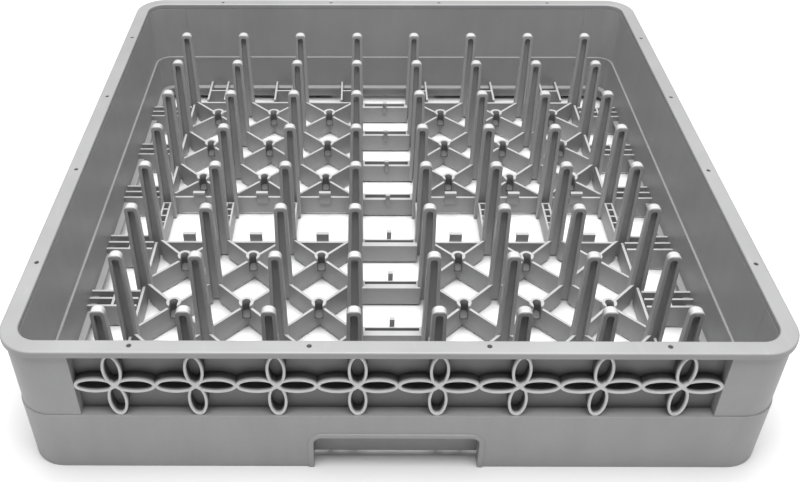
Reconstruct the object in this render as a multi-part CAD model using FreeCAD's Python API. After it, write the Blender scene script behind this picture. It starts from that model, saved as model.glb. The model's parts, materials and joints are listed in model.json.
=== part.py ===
import FreeCAD, Part
import math
import os

from FreeCAD import Vector

# Peg rack for a commercial dish and glass washer: a square open tray with an eight by eight field
# of upright pegs on a ribbed floor. Millimetres, +Z up, origin at the middle of the base.
# The front is the -Y side, and the four sides are alike. The rack is one moulding, made here as
# the members that it is built up from. Members meet face to face and share no volume.

# Overall
rack_side = 500.0
rack_height = 110.0

# Rim
rim_width = 11.5
rim_depth = 5.0
rim_corner_radius = 26.0
rim_edge_radius = 1.2
pin_hole_radius = 1.5
pin_hole_inset = 6.5
pin_hole_spacing = 110.4

# Wall above the skirt: an outer skin at the corners, an inner wall all round, a window per side
upper_setback = 2.0
skin_thickness = 2.2
inner_wall_thickness = 2.0
window_length = 408.0
window_floor = 51.0

# Petal grille in each window
petal_station_count = 8
petal_wall = 1.9
petal_half_width = 6.25
petal_overlap = 0.6
flower_boss_radius = 2.4

# Skirt, with a hand notch in the middle of each side
skirt_setback = 1.1
skirt_thickness = 2.4
skirt_flange_thickness = 2.2
notch_length = 110.0
notch_height = 30.0
notch_corner_radius = 6.0
notch_border_width = 3.5
notch_border_height = 0.8
notch_cheek_thickness = 1.8

# Basket wall below the ledge
ledge_width = 1.8
basket_wall_thickness = 2.2
basket_wall_bottom = 4.5
basket_lip_thickness = 2.2
basket_foot_width = 5.0
basket_foot_thickness = 2.0
basket_foot_top = 17.0

# Floor lattice
floor_bottom = 2.0
floor_top = 22.0
bar_top = 19.2
rib_thickness = 2.2
ring_outer_radius = 5.8
ring_inner_radius = 3.4
ring_mouth = 6.0
ring_bottom = 12.0
ring_floor = 1.6
ring_top = 25.0
frame_rib_offset = 3.9
frame_rib_overlap = 1.0
ladder_width = 7.5
ladder_rib = 1.8
rung_pitch = 9.4
rung_thickness = 1.8
middle_bar_first = 32.8
middle_bar_pitch = 53.0
middle_bar_depth = 9.5
middle_bar_length = 47.4
front_bar_ribs = (5.2, 1.4)
back_bar_ribs = (3.0, 1.7)
tab_width = 3.8
wide_tab_width = 10.5
tab_thickness = 1.8
tab_lip = 3.5
tab_lip_height = 2.5
tab_bottom = 13.5
tab_top = 26.5
stub_first = 36.0
stub_pitch = 69.5
stub_count = 3
stub_rib_spacing = 17.0
stub_rib = 2.0

# Pegs
peg_count = 8
peg_pitch = 56.4
peg_top = 98.0
peg_foot_width = 12.4
peg_foot_depth = 8.4
peg_tip_width = 9.8
peg_tip_depth = 7.0
peg_back_radius = 2.6
peg_back_wall = 1.9
peg_cap = 3.6
peg_tip_radius = 3.6
groove_foot_width = 6.8
groove_tip_width = 4.8

# Derived sizes
rim_half = rack_side / 2
rim_bottom = rack_height - rim_depth
upper_half = rim_half - upper_setback
upper_radius = rim_corner_radius - upper_setback
inner_half = rim_half - rim_width
inner_radius = rim_corner_radius - rim_width
inner_back_half = inner_half + inner_wall_thickness
inner_back_radius = inner_radius + inner_wall_thickness
skirt_half = rim_half - skirt_setback
skirt_radius = rim_corner_radius - skirt_setback
basket_half = inner_half - ledge_width
basket_radius = inner_radius - ledge_width
window_half = window_length / 2
peg_half_span = peg_pitch * (peg_count - 1) / 2
peg_lines = [index * peg_pitch - peg_half_span for index in range(peg_count)]
middle_lines = (peg_count // 2 - 1, peg_count // 2)
full_lines = (0, middle_lines[0], middle_lines[1], peg_count - 1)
cell_lines = [(peg_lines[i] + peg_lines[i + 1]) / 2 for i in range(peg_count - 1)]
outer_cells = [line for line in cell_lines if line != cell_lines[middle_lines[0]]]
reach = rack_side

side_names = ("front", "right", "back", "left")
corner_names = ("front_left", "front_right", "back_right", "back_left")


# ---------------------------------------------------------------- helpers

def block(x_low, x_high, y_low, y_high, z_low, z_high):
    corner = Vector(x_low, y_low, z_low)
    return Part.makeBox(x_high - x_low, y_high - y_low, z_high - z_low, corner)


def rounded_prism(half, radius, z_low, z_high):
    """Square of the given half side with round upright corners."""
    prism = block(-half, half, -half, half, z_low, z_high)
    upright = [edge for edge in prism.Edges if abs(edge.tangentAt(edge.FirstParameter).z) > 0.9]
    return prism.makeFillet(radius, upright)


def square_ring(outer_half, outer_radius, inner_edge, inner_edge_radius, z_low, z_high):
    outer = rounded_prism(outer_half, outer_radius, z_low, z_high)
    inner = rounded_prism(inner_edge, inner_edge_radius, z_low - 1, z_high + 1)
    return outer.cut(inner)


def quarter_turn(shape, quarter):
    """Copy turned about the upright axis by so many quarter turns."""
    turned = shape.copy()
    turned.rotate(Vector(0, 0, 0), Vector(0, 0, 1), 90 * quarter)
    return turned


def front_sector(z_low, z_high):
    """Wedge between the two diagonals that holds the front side."""
    points = [Vector(0, 0, z_low), Vector(-reach, -reach, z_low), Vector(reach, -reach, z_low)]
    outline = Part.makePolygon(points + points[:1])
    return Part.Face(outline).extrude(Vector(0, 0, z_high - z_low))


def joined(shapes):
    solid = shapes[0].fuse(shapes[1:]) if len(shapes) > 1 else shapes[0]
    return solid.removeSplitter()


def write_node(name, shapes):
    """One solid is written as it is, and several as a group of separate solids."""
    solids = [solid for shape in shapes for solid in shape.Solids]
    for solid in solids:
        if not solid.isValid():
            raise ValueError(name + " holds a solid that is not valid")
    node = solids[0] if len(solids) == 1 else Part.makeCompound(solids)
    node.exportStep("parts/" + name + ".step")
    print(name, len(solids), round(sum(solid.Volume for solid in solids)))


def write_four_sides(stem, shape):
    for quarter, side in enumerate(side_names):
        write_node(stem + "_" + side, [quarter_turn(shape, quarter)])


# ---------------------------------------------------------------- rim and walls

def rim():
    """Flat top ring that closes the double wall, with pin holes for a stacking extender."""
    ring = square_ring(rim_half, rim_corner_radius, inner_half, inner_radius,
                       rim_bottom, rack_height)
    top_edges = [edge for edge in ring.Edges
                 if edge.BoundBox.ZMin > rack_height - 0.01]
    ring = ring.makeFillet(rim_edge_radius, top_edges)
    line = rim_half - pin_hole_inset
    first = Part.makeCylinder(pin_hole_radius, rim_depth + 2, Vector(0, 0, rim_bottom - 1))
    for quarter in range(4):
        for step in (-1.5, -0.5, 0.5, 1.5):
            hole = first.copy()
            hole.translate(Vector(step * pin_hole_spacing, -line, 0))
            ring = ring.cut(quarter_turn(hole, quarter))
    return ring


def corner_post():
    """Hollow front left corner between two windows: outer skin, inner skin and two end webs."""
    corner = block(-reach, -window_half, -reach, -window_half, window_floor, rim_bottom)
    outer_skin = square_ring(upper_half, upper_radius, upper_half - skin_thickness,
                             upper_radius - skin_thickness, window_floor, rim_bottom)
    inner_skin = square_ring(inner_back_half, inner_back_radius, inner_half, inner_radius,
                             window_floor, rim_bottom)
    web_inside = -window_half - skin_thickness
    front_web = block(web_inside, -window_half, -upper_half, -inner_half, window_floor, rim_bottom)
    left_web = block(-upper_half, -inner_half, web_inside, -window_half, window_floor, rim_bottom)
    skins = joined([outer_skin, inner_skin]).common(corner)
    return joined([skins, front_web, left_web])


def window_back():
    """Front inner wall between the corner posts. It closes the back of the window."""
    return block(-window_half, window_half, -inner_back_half, -inner_half,
                 window_floor, rim_bottom)


def elliptic_prism(centre_x, centre_z, half_x, half_z):
    """Ellipse in the XZ plane, run from the window's outer plane to its back."""
    major = max(half_x, half_z)
    minor = min(half_x, half_z)
    outline = Part.Ellipse(Vector(0, 0, 0), major, minor).toShape()
    face = Part.Face(Part.Wire([outline]))
    if half_z > half_x:
        face.rotate(Vector(0, 0, 0), Vector(0, 0, 1), 90)
    face.rotate(Vector(0, 0, 0), Vector(1, 0, 0), 90)
    face.translate(Vector(centre_x, -inner_back_half, centre_z))
    return face.extrude(Vector(0, inner_back_half - upper_half, 0))


def petal_grille():
    """Row of four-petal flowers, each petal a short elliptic tube open to the outside."""
    pitch = window_length / petal_station_count
    middle = (window_floor + rim_bottom) / 2
    side_reach = pitch / 4
    rise = (rim_bottom - window_floor) / 4
    bodies = []
    bores = []
    for station in range(petal_station_count):
        x = (station + 0.5) * pitch - window_half
        for sign in (-1, 1):
            bodies.append(elliptic_prism(x + sign * side_reach, middle,
                                         side_reach + petal_overlap, petal_half_width))
            bodies.append(elliptic_prism(x, middle + sign * rise,
                                         petal_half_width, rise + petal_overlap))
            bores.append(elliptic_prism(x + sign * side_reach, middle,
                                        side_reach - petal_wall, petal_half_width - petal_wall))
            bores.append(elliptic_prism(x, middle + sign * rise,
                                        petal_half_width - petal_wall, rise - petal_wall))
        boss = Part.makeCylinder(flower_boss_radius, upper_half - inner_back_half,
                                 Vector(x, -upper_half, middle), Vector(0, 1, 0))
        bodies.append(boss)
    window = block(-window_half, window_half, -reach, 0, window_floor, rim_bottom)
    return joined(bodies).common(window).cut(Part.makeCompound(bores))


# ---------------------------------------------------------------- skirt

def notch_outline(margin):
    """Notch opening as a flat face at y = 0, grown by a margin. It runs on below the base."""
    half = notch_length / 2 + margin
    top = notch_height + margin
    radius = notch_corner_radius + margin
    bend = radius * (1 - math.sqrt(0.5))
    below = -1.0
    left = Part.LineSegment(Vector(-half, 0, below), Vector(-half, 0, top - radius))
    left_arc = Part.Arc(Vector(-half, 0, top - radius), Vector(-half + bend, 0, top - bend),
                        Vector(-half + radius, 0, top))
    over = Part.LineSegment(Vector(-half + radius, 0, top), Vector(half - radius, 0, top))
    right_arc = Part.Arc(Vector(half - radius, 0, top), Vector(half - bend, 0, top - bend),
                         Vector(half, 0, top - radius))
    right = Part.LineSegment(Vector(half, 0, top - radius), Vector(half, 0, below))
    closing = Part.LineSegment(Vector(half, 0, below), Vector(-half, 0, below))
    segments = (left, left_arc, over, right_arc, right, closing)
    return Part.Face(Part.Wire([segment.toShape() for segment in segments]))


def notch_prism(margin, y_low, y_high):
    face = notch_outline(margin)
    face.translate(Vector(0, y_low, 0))
    return face.extrude(Vector(0, y_high - y_low, 0))


def skirt_side():
    """Front skirt with its top flange, and a hand notch with a raised border and cheeks."""
    skin = square_ring(skirt_half, skirt_radius, skirt_half - skirt_thickness,
                       skirt_radius - skirt_thickness, 0, window_floor)
    flange = square_ring(skirt_half, skirt_radius, inner_back_half, inner_back_radius,
                         window_floor - skirt_flange_thickness, window_floor)
    side = joined([skin, flange]).common(front_sector(0, window_floor))
    border = notch_prism(notch_border_width, -skirt_half - notch_border_height, -skirt_half)
    cheeks = notch_prism(notch_cheek_thickness, -skirt_half, -inner_back_half)
    above_base = block(-reach, reach, -reach, 0, 0, window_floor)
    side = joined([side, border.common(above_base), cheeks.common(above_base)])
    return side.cut(notch_prism(0, -reach, -inner_back_half + 1))


# ---------------------------------------------------------------- basket wall

def basket_foot():
    return square_ring(basket_half + basket_wall_thickness, basket_radius + basket_wall_thickness,
                       basket_half - basket_foot_width, basket_radius - basket_foot_width,
                       basket_foot_top - basket_foot_thickness, basket_foot_top)


def basket_wall():
    """Front wall below the ledge: a lip under the upper wall, the wall, and an inward foot."""
    outer = basket_half + basket_wall_thickness
    outer_radius = basket_radius + basket_wall_thickness
    wall = square_ring(outer, outer_radius, basket_half, basket_radius,
                       basket_wall_bottom, window_floor)
    lip = square_ring(inner_back_half, inner_back_radius, basket_half, basket_radius,
                      window_floor - basket_lip_thickness, window_floor)
    return joined([wall, lip, basket_foot()]).common(front_sector(0, window_floor))


# ---------------------------------------------------------------- floor lattice

def placed(shape, x, y):
    moved = shape.copy()
    moved.translate(Vector(x, y, 0))
    return moved


def outwards(line, distance):
    """Row or column line moved away from the middle of the rack, or towards it if negative."""
    return line + distance * math.copysign(1, line)


def frame_rib_line(row):
    """Line of the ribs that frame a quadrant. Beside the middle row they pass outside the feet."""
    line = peg_lines[row]
    return outwards(line, frame_rib_offset) if row in middle_lines else line


def row_frame_rib(row, x):
    """Rib between two pegs of a row, fitted to the sides of their feet."""
    half = (peg_pitch - peg_foot_width) / 2 + frame_rib_overlap
    edge = rib_thickness / 2
    y = frame_rib_line(row)
    rib = block(x - half, x + half, y - edge, y + edge, floor_bottom, bar_top)
    return rib.cut(cell_feet(row, x))


def cell_feet(row, x):
    """Feet of the two pegs beside a cell of a row."""
    return [placed(peg_foot_block(), x + sign * peg_pitch / 2, peg_lines[row])
            for sign in (-1, 1)]


def middle_bar(row):
    """Slotted bar between the two middle pegs of a row. The front half has the wider front rib."""
    front_half = row < peg_count // 2
    front_rib, back_rib = front_bar_ribs if front_half else back_bar_ribs
    half = middle_bar_length / 2
    slot_half = (peg_pitch - peg_foot_width) / 2 - back_rib
    edge = middle_bar_depth / 2
    y = middle_bar_line(row)
    body = block(-half, half, y - edge, y + edge, floor_bottom, bar_top)
    slot = block(-slot_half, slot_half, y - edge + front_rib, y + edge - back_rib,
                 floor_bottom - 1, bar_top + 1)
    return body.cut([slot] + cell_feet(row, 0))


def middle_bar_line(row):
    steps_out = abs(row - (peg_count - 1) / 2) - 0.5
    return math.copysign(middle_bar_first + middle_bar_pitch * steps_out, peg_lines[row])


def row_bar(row):
    """Middle bar of a row, with the ribs of its other cells where the row frames a quadrant."""
    parts = [middle_bar(row)]
    if row in full_lines:
        parts += [row_frame_rib(row, x) for x in outer_cells]
    return parts


def ladder():
    """Two thin ribs along Y with rungs between them, across the middle row."""
    half = (peg_pitch - peg_foot_depth) / 2
    edge = ladder_width / 2
    ribs = [block(edge - ladder_rib, edge, -half, half, floor_bottom, bar_top),
            block(-edge, -edge + ladder_rib, -half, half, floor_bottom, bar_top)]
    rung_count = int(round(2 * half / rung_pitch)) + 1
    step = (2 * half - rung_thickness) / (rung_count - 1)
    for index in range(rung_count):
        low = -half + step * index
        ribs.append(block(-edge, edge, low, low + rung_thickness, floor_bottom, bar_top))
    return joined(ribs)


def column_bar(column):
    """Ladder across the middle row, with plain ribs where the column frames a quadrant."""
    x = peg_lines[column]
    parts = [placed(ladder(), x, 0)]
    if column in full_lines:
        half = (peg_pitch - peg_foot_depth) / 2
        edge = rib_thickness / 2
        parts += [block(x - edge, x + edge, y - half, y + half, floor_bottom, bar_top)
                  for y in outer_cells]
    return parts


def peg_feet():
    return [placed(peg_foot_block(), x, y) for x in peg_lines for y in peg_lines]


def edge_stub(along, with_middle_rib):
    """Ribs from the outermost pegs to the front basket wall, tied by one cross rib."""
    inner = -peg_half_span - rib_thickness / 2
    edge = stub_rib / 2
    spread = stub_rib_spacing / 2
    offsets = (-spread, 0, spread) if with_middle_rib else (-spread, spread)
    ribs = [block(along + offset - edge, along + offset + edge, -basket_half, inner,
                  floor_bottom, floor_top) for offset in offsets]
    cross = (inner - basket_half) / 2
    ribs.append(block(along - spread, along + spread, cross - edge, cross + edge,
                      floor_bottom, floor_top))
    return joined(ribs)


def edge_stubs(quarter):
    """Stubs of one side, in three mirrored pairs. Those of the left and right sides have a
    third rib. They are fitted round the outermost feet and the foot of the basket wall."""
    stops = peg_feet() + [basket_foot()]
    stubs = []
    for index in range(stub_count):
        for sign in (-1, 1):
            stub = edge_stub(sign * (stub_first + stub_pitch * index), quarter in (1, 3))
            stubs.append(quarter_turn(stub, quarter).cut(stops))
    return stubs


def quadrant_cells(quarter):
    """Cell middles of one quadrant, counted round from the front left."""
    low = cell_lines[:middle_lines[0]]
    high = cell_lines[middle_lines[0] + 1:]
    x_lines = low if quarter in (0, 3) else high
    y_lines = low if quarter in (0, 1) else high
    return [(x, y) for x in x_lines for y in y_lines]


def keep_out():
    """Feet of all pegs with the ribs that frame the quadrants, which the diagonals stop at."""
    solids = peg_feet()
    edge = rib_thickness / 2
    for index in full_lines:
        x = y = peg_lines[index]
        rib_y = frame_rib_line(index)
        solids.append(block(-peg_half_span, peg_half_span, min(y, rib_y) - edge,
                            max(y, rib_y) + edge, floor_bottom, floor_top))
        solids.append(block(x - edge, x + edge, -peg_half_span, peg_half_span,
                            floor_bottom, floor_top))
    return Part.makeCompound(solids)


def diagonal_arm():
    """Arm along X. Its pointed end meets the other three, and it is stepped down for the ring."""
    length = peg_pitch * math.sqrt(0.5)
    edge = rib_thickness / 2
    outline = [(0, 0), (edge, -edge), (length, -edge), (length, edge), (edge, edge), (0, 0)]
    points = [Vector(x, y, floor_bottom) for x, y in outline]
    arm = Part.Face(Part.makePolygon(points)).extrude(Vector(0, 0, floor_top - floor_bottom))
    return arm.cut(Part.makeCylinder(ring_outer_radius, floor_top, Vector(0, 0, ring_bottom)))


def diagonal_arms(quarter, stops):
    """Four arms in each cell, from the cross at its middle out to the peg feet."""
    arm = diagonal_arm()
    parts = []
    for x, y in quadrant_cells(quarter):
        for angle in (45, 135, 225, 315):
            turned = arm.copy()
            turned.rotate(Vector(0, 0, 0), Vector(0, 0, 1), angle)
            parts.append(placed(turned, x, y).cut(stops))
    return parts


def crossing_rings(quarter):
    """Short round sockets, open to the front, that stand on the cross of each cell."""
    height = ring_top - ring_bottom
    floor = ring_bottom + ring_floor
    outer = Part.makeCylinder(ring_outer_radius, height, Vector(0, 0, ring_bottom))
    inner = Part.makeCylinder(ring_inner_radius, height, Vector(0, 0, floor))
    mouth = block(-ring_mouth / 2, ring_mouth / 2, -ring_outer_radius - 1, 0,
                  floor, ring_top + 1)
    ring = outer.cut(inner).cut(mouth)
    return [placed(ring, x, y) for x, y in quadrant_cells(quarter)]


def tab(x, y, width):
    """Upright tab on the side of a bar that faces the middle of the rack, with a lip on top."""
    towards_middle = -math.copysign(1, y)
    half = width / 2
    plate_end = y + towards_middle * tab_thickness
    lip_end = y + towards_middle * tab_lip
    plate = block(x - half, x + half, min(y, plate_end), max(y, plate_end), tab_bottom, tab_top)
    lip = block(x - half, x + half, min(y, lip_end), max(y, lip_end),
                tab_top - tab_lip_height, tab_top)
    return joined([plate, lip])


def bar_tabs():
    """Narrow tabs on the middle bars, and wide ones in the cells beside the middle row."""
    tabs = []
    for row in range(peg_count):
        bar_face = outwards(middle_bar_line(row), -middle_bar_depth / 2)
        tabs.append(tab(0, bar_face, tab_width))
    for row in middle_lines:
        rib_face = outwards(frame_rib_line(row), -rib_thickness / 2)
        tabs += [tab(x, rib_face, wide_tab_width) for x in outer_cells]
    return tabs


# ---------------------------------------------------------------- pegs

def peg_section(width, depth, z):
    """Peg outline with a flat front and two rounded back corners."""
    half = width / 2
    front = -depth / 2
    back = depth / 2
    radius = peg_back_radius
    bend = radius * (1 - math.sqrt(0.5))
    front_left = Vector(-half, front, z)
    front_right = Vector(half, front, z)
    right_start = Vector(half, back - radius, z)
    right_end = Vector(half - radius, back, z)
    left_start = Vector(-half + radius, back, z)
    left_end = Vector(-half, back - radius, z)
    right_arc = Part.Arc(right_start, Vector(half - bend, back - bend, z), right_end)
    left_arc = Part.Arc(left_start, Vector(-half + bend, back - bend, z), left_end)
    edges = [Part.LineSegment(front_left, front_right), Part.LineSegment(front_right, right_start),
             right_arc, Part.LineSegment(right_end, left_start), left_arc,
             Part.LineSegment(left_end, front_left)]
    return Part.Wire([edge.toShape() for edge in edges])


def peg_foot_block():
    foot = Part.Face(peg_section(peg_foot_width, peg_foot_depth, floor_bottom))
    return foot.extrude(Vector(0, 0, floor_top - floor_bottom))


def peg_tip_outline():
    """Round-shouldered arch in the XZ plane that trims the top of a peg."""
    half = peg_foot_width / 2 + 1
    tip = peg_tip_width / 2
    prism = block(-half, half, -peg_foot_depth, peg_foot_depth, floor_bottom - 1, peg_top)
    arch = block(-tip, tip, -peg_foot_depth, peg_foot_depth,
                 peg_top - peg_tip_radius * 2, peg_top)
    shoulders = [edge for edge in arch.Edges
                 if edge.BoundBox.ZMin > peg_top - 0.01 and edge.BoundBox.YLength > 1]
    arch = arch.makeFillet(peg_tip_radius, shoulders)
    top = block(-half, half, -peg_foot_depth, peg_foot_depth, peg_top - peg_tip_radius, peg_top)
    return prism.cut(top.cut(arch))


def peg():
    """Drafted channel, open to the front, with a closed round-shouldered tip."""
    foot = peg_foot_block()
    low = peg_section(peg_foot_width, peg_foot_depth, floor_top)
    high = peg_section(peg_tip_width, peg_tip_depth, peg_top)
    shaft = Part.makeLoft([low, high], True, True)
    body = joined([foot, shaft]).common(peg_tip_outline())
    return body.cut(peg_groove())


def peg_groove():
    """Space inside the channel: it narrows upwards to a round arch under the tip."""
    foot_half = groove_foot_width / 2
    tip_half = groove_tip_width / 2
    below = floor_bottom - 1
    spring = peg_top - peg_cap - tip_half
    left = Part.LineSegment(Vector(-foot_half, 0, below), Vector(-tip_half, 0, spring))
    arch = Part.Arc(Vector(-tip_half, 0, spring), Vector(0, 0, spring + tip_half),
                    Vector(tip_half, 0, spring))
    right = Part.LineSegment(Vector(tip_half, 0, spring), Vector(foot_half, 0, below))
    closing = Part.LineSegment(Vector(foot_half, 0, below), Vector(-foot_half, 0, below))
    outline = Part.Wire([segment.toShape() for segment in (left, arch, right, closing)])
    face = Part.Face(outline)
    face.translate(Vector(0, -peg_foot_depth, 0))
    return face.extrude(Vector(0, peg_foot_depth + peg_tip_depth / 2 - peg_back_wall, 0))


# ---------------------------------------------------------------- the rack

def build():
    write_node("rim", [rim()])
    post = corner_post()
    for quarter, corner in enumerate(corner_names):
        write_node("corner_post_" + corner, [quarter_turn(post, quarter)])
    write_four_sides("window_back", window_back())
    write_four_sides("petal_grille", petal_grille())
    write_four_sides("skirt", skirt_side())
    write_four_sides("basket_wall", basket_wall())
    for index in range(peg_count):
        write_node("row_bar_" + str(index + 1), row_bar(index))
        write_node("column_bar_" + str(index + 1), column_bar(index))
    stops = keep_out()
    for quarter, corner in enumerate(corner_names):
        write_node("diagonal_arms_" + corner, diagonal_arms(quarter, stops))
        write_node("crossing_rings_" + corner, crossing_rings(quarter))
    write_node("bar_tabs", bar_tabs())
    for quarter, side in enumerate(side_names):
        write_node("edge_stubs_" + side, edge_stubs(quarter))
    single_peg = peg()
    for row, y in enumerate(peg_lines):
        write_node("peg_row_" + str(row + 1), [placed(single_peg, x, y) for x in peg_lines])


os.makedirs("parts", exist_ok=True)
build()
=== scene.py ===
import json
import math

import bpy
from mathutils import Matrix, Vector


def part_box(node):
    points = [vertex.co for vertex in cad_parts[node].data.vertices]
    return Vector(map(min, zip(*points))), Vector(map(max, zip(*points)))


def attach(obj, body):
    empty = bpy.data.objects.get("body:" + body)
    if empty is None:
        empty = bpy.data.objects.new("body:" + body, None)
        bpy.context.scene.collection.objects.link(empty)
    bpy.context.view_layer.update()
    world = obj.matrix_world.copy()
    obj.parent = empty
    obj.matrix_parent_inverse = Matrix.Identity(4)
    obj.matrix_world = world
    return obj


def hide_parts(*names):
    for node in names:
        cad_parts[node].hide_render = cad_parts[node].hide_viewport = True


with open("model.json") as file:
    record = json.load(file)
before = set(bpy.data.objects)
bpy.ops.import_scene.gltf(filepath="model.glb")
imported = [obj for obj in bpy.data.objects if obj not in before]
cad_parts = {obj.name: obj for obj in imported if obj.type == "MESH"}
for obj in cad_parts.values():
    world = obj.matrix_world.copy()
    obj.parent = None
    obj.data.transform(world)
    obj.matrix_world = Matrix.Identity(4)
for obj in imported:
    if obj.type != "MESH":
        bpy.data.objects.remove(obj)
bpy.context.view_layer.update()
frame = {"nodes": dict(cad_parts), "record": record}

# Grey moulded peg rack for a commercial dish and glass washer, on a pale studio floor.
# Metres, +Z up, the front is the -Y side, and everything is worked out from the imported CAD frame.

MM = 0.001


# ---------------------------------------------------------------- materials

def node_tree(material):
    material.use_nodes = True
    tree = material.node_tree
    tree.nodes.clear()
    return tree.nodes, tree.links


def noise(nodes, links, vector, scale, detail, stretch=(1, 1, 1)):
    """Noise in object space. stretch is how much it is squeezed along each axis."""
    mapping = nodes.new("ShaderNodeMapping")
    mapping.inputs["Scale"].default_value = stretch
    links.new(vector, mapping.inputs["Vector"])
    texture = nodes.new("ShaderNodeTexNoise")
    texture.inputs["Scale"].default_value = scale
    texture.inputs["Detail"].default_value = detail
    texture.inputs["Roughness"].default_value = 0.55
    links.new(mapping.outputs["Vector"], texture.inputs["Vector"])
    return texture.outputs["Fac"]


def mapped(nodes, links, value, low, high, from_low=0.3, from_high=0.7):
    """The value's usual range, spread over low to high."""
    node = nodes.new("ShaderNodeMapRange")
    node.inputs["From Min"].default_value = from_low
    node.inputs["From Max"].default_value = from_high
    node.inputs["To Min"].default_value = low
    node.inputs["To Max"].default_value = high
    links.new(value, node.inputs["Value"])
    return node.outputs["Result"]


def product(nodes, links, first, second):
    node = nodes.new("ShaderNodeMath")
    node.operation = "MULTIPLY"
    links.new(first, node.inputs[0])
    links.new(second, node.inputs[1])
    return node.outputs[0]


def painted_shade_ramp(nodes, links, where, measure, near, far, near_shade, far_shade):
    """Painted shade and highlight that change between two heights, or two distances from the middle
    planes.
    """
    split = nodes.new("ShaderNodeSeparateXYZ")
    links.new(where, split.inputs[0])
    if measure == "height":
        return mapped(nodes, links, split.outputs["Z"], near_shade, far_shade, near, far)
    reach = nodes.new("ShaderNodeMath")
    reach.operation = "MAXIMUM"
    for index, axis in enumerate("XY"):
        size = nodes.new("ShaderNodeMath")
        size.operation = "ABSOLUTE"
        links.new(split.outputs[axis], size.inputs[0])
        links.new(size.outputs[0], reach.inputs[index])
    return mapped(nodes, links, reach.outputs[0], near_shade, far_shade, near, far)


def painted_top_light(nodes, links, normal, lightness):
    """Painted highlight on surfaces that face up: they are made lighter as light falls on tops."""
    split = nodes.new("ShaderNodeSeparateXYZ")
    links.new(normal, split.inputs[0])
    return mapped(nodes, links, split.outputs["Z"], 1.0, lightness, 0.6, 0.97)


def moulded_plastic(name, colour, gloss=0.46, grain=1.0, flow=(1, 1, 0.25), top_highlight=1.0, painted_ramp=None):
    """Satin polypropylene: cloudy flow marks, fine grain, scuffs, and small changes of gloss.
    top_highlight is the lightness of surfaces that face up, a painted highlight, and painted_ramp
    holds what painted_shade_ramp() needs for painted shade and highlight."""
    material = bpy.data.materials.new(name)
    nodes, links = node_tree(material)
    output = nodes.new("ShaderNodeOutputMaterial")
    shader = nodes.new("ShaderNodeBsdfPrincipled")
    links.new(shader.outputs[0], output.inputs[0])
    shader.inputs["IOR"].default_value = 1.49
    coordinates = nodes.new("ShaderNodeTexCoord")
    where = coordinates.outputs["Object"]
    # Noise scales are in features per metre, from clouds of 60 mm down to a grain of 1 mm.
    cloud = noise(nodes, links, where, 16, 4)
    streak = noise(nodes, links, where, 70, 3, flow)
    speck = noise(nodes, links, where, 1400, 2)
    scuff = noise(nodes, links, where, 240, 5, (1, 0.12, 1))
    shade = product(nodes, links, mapped(nodes, links, cloud, 0.95, 1.05),
                    mapped(nodes, links, streak, 0.97, 1.03))
    shade = product(nodes, links, shade, mapped(nodes, links, speck, 0.975, 1.025))
    shade = product(nodes, links, shade, mapped(nodes, links, scuff, 1.0, 1.07, 0.62, 0.75))
    # Painted highlight: surfaces that face up are made lighter.
    if top_highlight != 1.0:
        lit = painted_top_light(nodes, links, coordinates.outputs["Normal"], top_highlight)
        shade = product(nodes, links, shade, lit)
    # Painted shade in hollows and painted highlight on lips and tops, set by height or by distance
    # from the middle planes.
    if painted_ramp:
        shade = product(nodes, links, shade, painted_shade_ramp(nodes, links, where, *painted_ramp))
    tone = nodes.new("ShaderNodeMix")
    tone.data_type = "RGBA"
    tone.blend_type = "MULTIPLY"
    tone.inputs["Factor"].default_value = 1
    tone.inputs["A"].default_value = (colour, colour, colour * 1.005, 1)
    links.new(shade, tone.inputs["B"])
    links.new(tone.outputs["Result"], shader.inputs["Base Color"])
    rough = product(nodes, links, mapped(nodes, links, cloud, gloss * 0.92, gloss * 1.08),
                    mapped(nodes, links, scuff, 1.0, 1.2, 0.58, 0.72))
    links.new(rough, shader.inputs["Roughness"])
    peel = nodes.new("ShaderNodeBump")
    peel.inputs["Strength"].default_value = 0.12 * grain
    peel.inputs["Distance"].default_value = 0.4 * MM
    links.new(noise(nodes, links, where, 190, 2), peel.inputs["Height"])
    fine = nodes.new("ShaderNodeBump")
    fine.inputs["Strength"].default_value = 0.10 * grain
    fine.inputs["Distance"].default_value = 0.1 * MM
    links.new(speck, fine.inputs["Height"])
    links.new(peel.outputs["Normal"], fine.inputs["Normal"])
    links.new(fine.outputs["Normal"], shader.inputs["Normal"])
    return material


PLASTIC = 0.29
window_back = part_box("petal_grille_right")[0].x
window_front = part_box("petal_grille_right")[1].x
socket_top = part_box("crossing_rings_front_left")[1].z
# Painted shade deep in the petals' bores and painted highlight on their front lips.
petal_painted_shade = ("side", window_front - 3 * MM, window_front - 0.6 * MM, 0.25, 1.9)
# Painted shade on the outer face of the window backs, deep in the recess behind the petals.
window_painted_shade = ("side", window_back - 2 * MM, window_back, 1.0, 0.55)
# Painted shade low inside the crossing rings and painted highlight at their tops.
socket_painted_shade = ("height", socket_top - 6 * MM, socket_top - 0.5 * MM, 0.4, 1.3)
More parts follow.
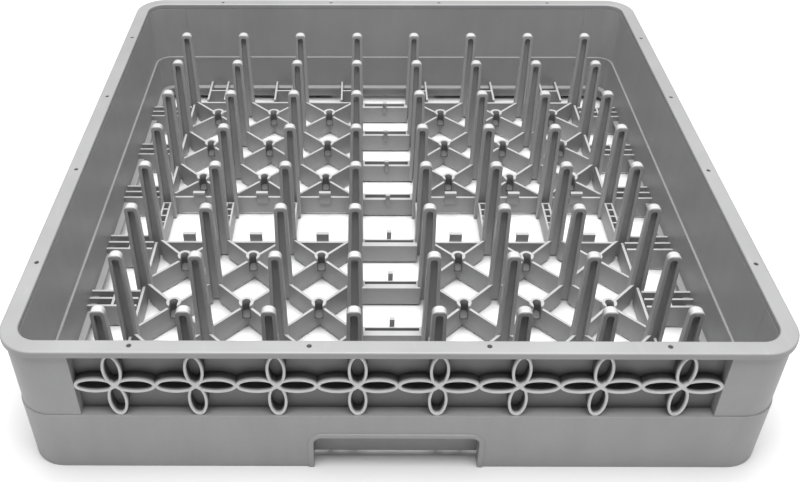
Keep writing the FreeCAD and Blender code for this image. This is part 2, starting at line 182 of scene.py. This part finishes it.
# The factors on PLASTIC make lit and shaded copies of one grey plastic: painted shade on the rim
# and lattice, painted light on the pegs.
slot_materials = {
    "rim_plastic": moulded_plastic("rim_plastic", PLASTIC * 0.93, 0.42, 1.0, (0.3, 0.3, 1)),
    "wall_plastic": moulded_plastic("wall_plastic", PLASTIC, 0.46, 1.0, (1, 1, 0.2)),
    "grille_plastic": moulded_plastic("grille_plastic", PLASTIC, 0.45, 0.8, (1, 1, 0.5),
                                      painted_ramp=petal_painted_shade),
    "lattice_plastic": moulded_plastic("lattice_plastic", PLASTIC * 0.92, 0.46, 0.9,
                                       (1, 1, 0.4), top_highlight=1.38),
    "peg_plastic": moulded_plastic("peg_plastic", PLASTIC * 1.15, 0.44, 0.9,
                                   (1, 1, 0.15), top_highlight=1.28),
}
stem_materials = {
    # Darker copy of the one grey plastic on the basket wall: painted shade inside the basket.
    "basket_wall": moulded_plastic("basket_painted_shade_plastic", PLASTIC * 0.87, 0.46, 1.0, (1, 1, 0.2)),
    "window_back": moulded_plastic("window_painted_shade_plastic", PLASTIC, 0.46, 1.0, (1, 1, 0.2),
                                   painted_ramp=window_painted_shade),
    "crossing_rings": moulded_plastic("socket_painted_shade_plastic", PLASTIC, 0.46, 0.9, (1, 1, 0.4),
                                      painted_ramp=socket_painted_shade),
}
node_slots = {part["node"]: part["material_slot"] for part in frame["record"]["subparts"]}


# ---------------------------------------------------------------- carried-over CAD nodes

def soften(node, width):
    """Rounds a CAD node's sharp edges as a mould does, with modifiers only."""
    weld = node.modifiers.new("weld", "WELD")
    weld.merge_threshold = 0.01 * MM
    bevel = node.modifiers.new("bevel", "BEVEL")
    bevel.width = width
    bevel.segments = 2
    bevel.limit_method = "ANGLE"
    bevel.angle_limit = math.radians(40)
    bevel.use_clamp_overlap = True
    normals = node.modifiers.new("normals", "WEIGHTED_NORMAL")
    normals.weight = 60


edge_radius = {"rim_plastic": 0.3 * MM, "wall_plastic": 0.35 * MM, "grille_plastic": 0.35 * MM,
               "lattice_plastic": 0.35 * MM, "peg_plastic": 0.4 * MM}
for name, node in frame["nodes"].items():
    node.data.materials.clear()
    finish = slot_materials[node_slots[name]]
    for stem, material in stem_materials.items():
        if name.startswith(stem):
            finish = material
    node.data.materials.append(finish)
    soften(node, edge_radius[node_slots[name]])


# ---------------------------------------------------------------- mesh helpers

def new_piece(name, mesh, slot, *nodes):
    """Finishes a piece that stands for CAD nodes: smooth shading, its slot's plastic, its body."""
    piece = bpy.data.objects.new(name, mesh)
    bpy.context.scene.collection.objects.link(piece)
    mesh.materials.clear()
    mesh.materials.append(slot_materials[slot])
    mesh.shade_smooth()
    mesh.set_sharp_from_angle(angle=math.radians(38))
    normals = piece.modifiers.new("normals", "WEIGHTED_NORMAL")
    normals.keep_sharp = True
    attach(piece, "root")
    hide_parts(*nodes)
    return piece


def cut_out(mesh, cutter):
    """The mesh with the cutter's volume taken away."""
    body_object = bpy.data.objects.new("cut_body", mesh)
    cutter_object = bpy.data.objects.new("cut_tool", cutter)
    for helper in (body_object, cutter_object):
        bpy.context.scene.collection.objects.link(helper)
    boolean = body_object.modifiers.new("cut", "BOOLEAN")
    boolean.operation = "DIFFERENCE"
    boolean.solver = "EXACT"
    boolean.object = cutter_object
    bpy.context.view_layer.update()
    graph = bpy.context.evaluated_depsgraph_get()
    result = bpy.data.meshes.new_from_object(body_object.evaluated_get(graph))
    for helper in (body_object, cutter_object):
        bpy.data.objects.remove(helper)
    return result


def arc(centre, radius, start, end, steps):
    """Points on an arc in a plane, angles in degrees."""
    points = []
    for index in range(steps + 1):
        angle = math.radians(start + (end - start) * index / steps)
        points.append((centre[0] + radius * math.cos(angle), centre[1] + radius * math.sin(angle)))
    return points


def stacked_rings(points, faces, rings):
    """Adds a closed solid through rings of points, with a flat cap at each end."""
    first = len(points)
    count = len(rings[0])
    for ring in rings:
        points += ring
    top = first + (len(rings) - 1) * count
    for base in range(first, top, count):
        for index in range(count):
            nxt = (index + 1) % count
            faces.append((base + index, base + nxt, base + count + nxt, base + count + index))
    faces.append(tuple(first + index for index in reversed(range(count))))
    faces.append(tuple(top + index for index in range(count)))


def mesh_of(name, points, faces):
    mesh = bpy.data.meshes.new(name)
    mesh.from_pydata(points, [], faces)
    return mesh


def corner_stations(half, radius, steps=20, straight=12):
    """Stations round a rounded square: a point on its outline and the outward direction there."""
    middle = half - radius
    stations = []
    for quarter in range(4):
        turn = math.radians(90 * quarter)
        cx = middle * (math.cos(turn) - math.sin(turn))
        cy = middle * (math.sin(turn) + math.cos(turn))
        for index in range(steps + 1):
            angle = turn + math.radians(90) * index / steps
            out = (math.cos(angle), math.sin(angle))
            stations.append(((cx + out[0] * radius, cy + out[1] * radius), out))
        (x, y), out = stations[-1]
        along = (-out[1], out[0])
        for index in range(1, straight):
            run = 2 * middle * index / straight
            stations.append(((x + along[0] * run, y + along[1] * run), out))
    return stations


def swept_ring(name, half, radius, profile):
    """Closed profile of (distance in from the outline, height) swept round a rounded square."""
    stations = corner_stations(half, radius)
    count = len(profile)
    points = []
    for (x, y), out in stations:
        for inwards, z in profile:
            points.append((x - out[0] * inwards, y - out[1] * inwards, z))
    faces = []
    for station in range(len(stations)):
        this = station * count
        following = (station + 1) % len(stations) * count
        for index in range(count):
            nxt = (index + 1) % count
            faces.append((this + index, following + index, following + nxt, this + nxt))
    return mesh_of(name, points, faces)


# ---------------------------------------------------------------- rim

RIM_WIDTH = 11.5 * MM
RIM_CORNER = 26 * MM
RIM_CROWN = 1.3 * MM
RIM_HEEL = 0.6 * MM
PIN_RADIUS = 1.5 * MM
PIN_BEVEL = 0.75 * MM
PIN_BEVEL_DEPTH = 0.35 * MM
PIN_SIDES = 24


def circle(x, y, z, radius, sides):
    """Points round an upright axis."""
    angles = [2 * math.pi * side / sides for side in range(sides)]
    return [(x + radius * math.cos(angle), y + radius * math.sin(angle), z) for angle in angles]


def pin_cutters(low, high):
    """Countersunk cutters at every pin hole of the rim, from the record's bolt patterns."""
    levels = ((low.z - 1 * MM, PIN_RADIUS), (high.z - PIN_BEVEL_DEPTH, PIN_RADIUS),
              (high.z + 0.4 * MM, PIN_RADIUS + PIN_BEVEL))
    points, faces = [], []
    for mount in frame["record"]["mounts"]:
        dims = mount["dims"]
        if "hole_r_mm" not in dims:
            continue
        for sx in (-0.5, 0.5):
            for sy in (-0.5, 0.5):
                x = sx * dims["spacing_x_mm"] * MM
                y = sy * dims["spacing_y_mm"] * MM
                rings = [circle(x, y, z, radius, PIN_SIDES) for z, radius in levels]
                stacked_rings(points, faces, rings)
    return mesh_of("pin_cutters", points, faces)


def rim():
    """Flat top ring with rounded edges and its pin holes."""
    low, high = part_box("rim")
    top, bottom = high.z, low.z
    profile = arc((RIM_CROWN, top - RIM_CROWN), RIM_CROWN, 180, 90, 5)
    profile += [(RIM_WIDTH * 0.35, top), (RIM_WIDTH * 0.65, top)]
    profile += arc((RIM_WIDTH - RIM_CROWN, top - RIM_CROWN), RIM_CROWN, 90, 0, 5)
    profile += arc((RIM_WIDTH - RIM_HEEL, bottom + RIM_HEEL), RIM_HEEL, 0, -90, 3)
    profile += arc((RIM_HEEL, bottom + RIM_HEEL), RIM_HEEL, 270, 180, 3)
    ring = swept_ring("rim_ring", high.x, RIM_CORNER, profile)
    new_piece("rim_moulding", cut_out(ring, pin_cutters(low, high)), "rim_plastic", "rim")


rim()


# ---------------------------------------------------------------- pegs

PEG_COUNT = 8
PEG_FOOT = (12.4 * MM, 8.4 * MM)
PEG_TIP = (9.8 * MM, 7.0 * MM)
PEG_FOOT_TOP = 22 * MM
PEG_SHAFT_HEIGHTS = (38 * MM, 54 * MM, 70 * MM, 82 * MM)
PEG_SHOULDER = 3.6 * MM
PEG_CROWN = 1.5 * MM
PEG_LIP = 0.55 * MM
PEG_BACK = 2.6 * MM
PEG_BASE_EDGE = 0.4 * MM
PEG_BASE_INSET = 0.25 * MM
GROOVE_FOOT = 3.4 * MM
GROOVE_TIP = 2.4 * MM
GROOVE_BACK = 0.4 * MM
GROOVE_CAP = 3.6 * MM
GROOVE_EDGE = 0.4 * MM
GROOVE_CORNER = 0.9 * MM
GROOVE_POINTS = 14
SLIT = 0.02 * MM
ARCH_STEPS = 8


def peg_loop(half_x, half_y, groove, closed):
    """Outline of a peg at one height, round its back from the left flange to the right one, and
    back through the groove. A closed outline has its groove points on the front face."""
    back = min(PEG_BACK, half_x * 0.8, half_y * 0.9)
    points = arc((-half_x + PEG_LIP, -half_y + PEG_LIP), PEG_LIP, 270, 180, 3)
    points += arc((-half_x + back, half_y - back), back, 180, 90, 5)
    points += arc((half_x - back, half_y - back), back, 90, 0, 5)
    points += arc((half_x - PEG_LIP, -half_y + PEG_LIP), PEG_LIP, 0, -90, 3)
    if closed:
        middle = (GROOVE_POINTS - 1) / 2
        return points + [(groove * (1 - index / middle), -half_y)
                         for index in range(GROOVE_POINTS)]
    edge = min(GROOVE_EDGE, max(groove * 0.5, SLIT / 2))
    corner = min(GROOVE_CORNER, groove * 0.9)
    points += arc((groove + edge, -half_y + edge), edge, 270, 180, 3)
    points += arc((groove - corner, GROOVE_BACK - corner), corner, 0, 90, 2)
    points += arc((-groove + corner, GROOVE_BACK - corner), corner, 90, 180, 2)
    return points + arc((-groove - edge, -half_y + edge), edge, 0, -90, 3)


def peg_levels(low, high):
    """Heights of a peg's loops, each with what peg_loop needs there: shaft, arch of the groove,
    and rounded tip."""
    def halves(z):
        share = min(max((z - PEG_FOOT_TOP) / (high - PEG_FOOT_TOP), 0), 1)
        return [(foot + (tip - foot) * share) / 2 for foot, tip in zip(PEG_FOOT, PEG_TIP)]

    spring = high - GROOVE_CAP - GROOVE_TIP
    levels = []
    for z in (low, low + PEG_BASE_EDGE, PEG_FOOT_TOP, *PEG_SHAFT_HEIGHTS):
        half_x, half_y = halves(z)
        inset = PEG_BASE_INSET if z == low else 0
        groove = GROOVE_FOOT + (GROOVE_TIP - GROOVE_FOOT) * (z - low) / (spring - low)
        levels.append((z, half_x - inset, half_y - inset, groove, False))
    for step in range(ARCH_STEPS + 1):
        angle = math.radians(90) * step / ARCH_STEPS
        z = spring + GROOVE_TIP * math.sin(angle)
        levels.append((z, *halves(z), max(GROOVE_TIP * math.cos(angle), SLIT), False))
    arch_top = spring + GROOVE_TIP + SLIT
    levels.append((arch_top, *halves(arch_top), SLIT, True))
    for step in range(ARCH_STEPS + 1):
        angle = math.radians(84) * step / ARCH_STEPS
        z = high - PEG_SHOULDER + PEG_SHOULDER * math.sin(angle)
        if z < arch_top:
            continue
        half_x, half_y = halves(z)
        half_x -= PEG_SHOULDER * (1 - math.cos(angle))
        rise = max(z - (high - PEG_CROWN), 0) / PEG_CROWN
        half_y -= PEG_CROWN * (1 - math.sqrt(max(1 - rise * rise, 0)))
        levels.append((z, half_x, half_y, half_x * 0.6, True))
    return levels


def peg_row(row):
    """One row of channel pegs, open to the front, each with a round-shouldered closed tip."""
    low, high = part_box("peg_row_%d" % row)
    pitch = (high.x - low.x - PEG_FOOT[0]) / (PEG_COUNT - 1)
    y = (low.y + high.y) / 2
    levels = peg_levels(low.z, high.z)
    loops = [peg_loop(*level[1:]) for level in levels]
    count = len(loops[0])
    points, faces = [], []
    for peg in range(PEG_COUNT):
        x = low.x + PEG_FOOT[0] / 2 + pitch * peg
        first = len(points)
        for level, loop in zip(levels, loops):
            points += [(x + px, y + py, level[0]) for px, py in loop]
        top = first + (len(levels) - 1) * count
        for base in range(first, top, count):
            for index in range(count):
                nxt = (index + 1) % count
                faces.append((base + nxt, base + index, base + count + index, base + count + nxt))
        faces.append(tuple(first + index for index in range(count)))
        points.append((x, y, high.z))
        faces += [(top + (index + 1) % count, top + index, len(points) - 1)
                  for index in range(count)]
    name = "pegs_%d" % row
    new_piece(name, mesh_of(name, points, faces), "peg_plastic", "peg_row_%d" % row)


for row in range(1, PEG_COUNT + 1):
    peg_row(row)


# ---------------------------------------------------------------- petal grilles

PETAL_WALL = 1.9 * MM
PETAL_HALF = 6.25 * MM
PETAL_OVERLAP = 0.6 * MM
PETAL_LIP = 0.95 * MM
PETAL_STEPS = 44
BOSS_RADIUS = 2.4 * MM
BOSS_SIDES = 20
STATIONS = 8


def petal_tube(points, faces, centre, half_x, half_z, front, back):
    """Elliptic tube with a rolled front lip. Its profile holds (share of the way from the
    outer surface to the inner one, depth)."""
    outer = (half_x + (PETAL_OVERLAP if half_x > half_z else 0),
             half_z + (PETAL_OVERLAP if half_z > half_x else 0))
    inner = (half_x - PETAL_WALL, half_z - PETAL_WALL)
    middle = (front + back) / 2
    profile = [(0.0, back), (0.0, middle)]
    profile += [(share, front + PETAL_LIP * (1 - 2 * height))
                for share, height in arc((0.5, 0), 0.5, 180, 0, 8)]
    profile += [(1.0, middle), (1.0, back)]
    first = len(points)
    count = len(profile)
    for step in range(PETAL_STEPS):
        angle = 2 * math.pi * step / PETAL_STEPS
        for share, depth in profile:
            rx = outer[0] + (inner[0] - outer[0]) * share
            rz = outer[1] + (inner[1] - outer[1]) * share
            points.append((centre[0] + rx * math.cos(angle), depth,
                           centre[1] + rz * math.sin(angle)))
    for step in range(PETAL_STEPS):
        a = first + step * count
        b = first + (step + 1) % PETAL_STEPS * count
        for index in range(count):
            nxt = (index + 1) % count
            faces.append((b + index, b + nxt, a + nxt, a + index))


def flower_boss(points, faces, x, z, front, back):
    """Small domed boss where a flower's petals meet."""
    levels = ((BOSS_RADIUS, back), (BOSS_RADIUS, front + 0.6 * MM),
              (BOSS_RADIUS * 0.8, front + 0.12 * MM), (BOSS_RADIUS * 0.4, front - 0.02 * MM))
    rings = []
    for radius, y in levels:
        rings.append([(px, y, pz) for px, pz, _ in circle(x, z, 0, radius, BOSS_SIDES)])
    stacked_rings(points, faces, rings)


def petal_grille(side, quarter):
    """The side's flowers, made for the front and turned to the side that they belong to."""
    low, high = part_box("petal_grille_front")
    pitch = (high.x - low.x) / STATIONS
    middle = (low.z + high.z) / 2
    rise = (high.z - low.z) / 4
    points, faces = [], []
    for station in range(STATIONS):
        x = low.x + (station + 0.5) * pitch
        for sign in (-1, 1):
            petal_tube(points, faces, (x + sign * pitch / 4, middle), pitch / 4, PETAL_HALF,
                       low.y, high.y)
            petal_tube(points, faces, (x, middle + sign * rise), PETAL_HALF, rise,
                       low.y, high.y)
        flower_boss(points, faces, x, middle, low.y, high.y)
    turn = Matrix.Rotation(math.radians(90 * quarter), 4, "Z")
    points = [tuple(turn @ Vector(point)) for point in points]
    name = "petals_" + side
    new_piece(name, mesh_of(name, points, faces), "grille_plastic", "petal_grille_" + side)


for quarter, side in enumerate(("front", "right", "back", "left")):
    petal_grille(side, quarter)


# ---------------------------------------------------------------- studio

FLOOR_HALF = 6.0
FLOOR_TONE = 0.68
LIGHT_PLACE = (0, -0.12, 1.8)
LIGHT_SIZE = 1.5
LIGHT_POWER = 74
SKY_STRENGTH = 0.25
CAMERA_LENS = 42.17
CAMERA_SHIFT = (0.0506, -0.0325)
CAMERA_PLACE = (-0.02307, -0.6482, 0.5227)
CAMERA_YAW = 0.189
CAMERA_DOWN = 37.61


def floor():
    half = FLOOR_HALF
    corners = [(-half, -half, 0), (half, -half, 0), (half, half, 0), (-half, half, 0)]
    ground = bpy.data.objects.new("floor", mesh_of("floor", corners, [(0, 1, 2, 3)]))
    bpy.context.scene.collection.objects.link(ground)
    material = bpy.data.materials.new("pale_floor")
    nodes, links = node_tree(material)
    output = nodes.new("ShaderNodeOutputMaterial")
    shader = nodes.new("ShaderNodeBsdfPrincipled")
    shader.inputs["Base Color"].default_value = (FLOOR_TONE, FLOOR_TONE, FLOOR_TONE, 1)
    shader.inputs["Roughness"].default_value = 0.9
    links.new(shader.outputs[0], output.inputs[0])
    ground.data.materials.append(material)


def studio():
    """One wide soft light overhead and an even pale surrounding."""
    scene = bpy.context.scene
    scene.world = bpy.data.worlds.new("studio")
    scene.world.use_nodes = True
    background = scene.world.node_tree.nodes["Background"]
    background.inputs[0].default_value = (1, 1, 1, 1)
    background.inputs[1].default_value = SKY_STRENGTH
    scene.view_settings.view_transform = "Standard"
    data = bpy.data.lights.new("overhead", "AREA")
    data.shape = "RECTANGLE"
    data.size = data.size_y = LIGHT_SIZE
    data.energy = LIGHT_POWER
    light = bpy.data.objects.new("overhead", data)
    scene.collection.objects.link(light)
    light.location = LIGHT_PLACE
    light.rotation_mode = "QUATERNION"
    light.rotation_quaternion = (-Vector(LIGHT_PLACE)).to_track_quat("-Z", "Y")


def camera():
    data = bpy.data.cameras.new("camera")
    data.lens = CAMERA_LENS
    data.sensor_width = 36
    data.shift_x, data.shift_y = CAMERA_SHIFT
    cam = bpy.data.objects.new("camera", data)
    bpy.context.scene.collection.objects.link(cam)
    turn = Matrix.Rotation(math.radians(CAMERA_YAW), 4, "Z")
    tilt = Matrix.Rotation(math.radians(90 - CAMERA_DOWN), 4, "X")
    cam.matrix_world = Matrix.Translation(CAMERA_PLACE) @ turn @ tilt
    bpy.context.scene.camera = cam


floor()
studio()
camera()
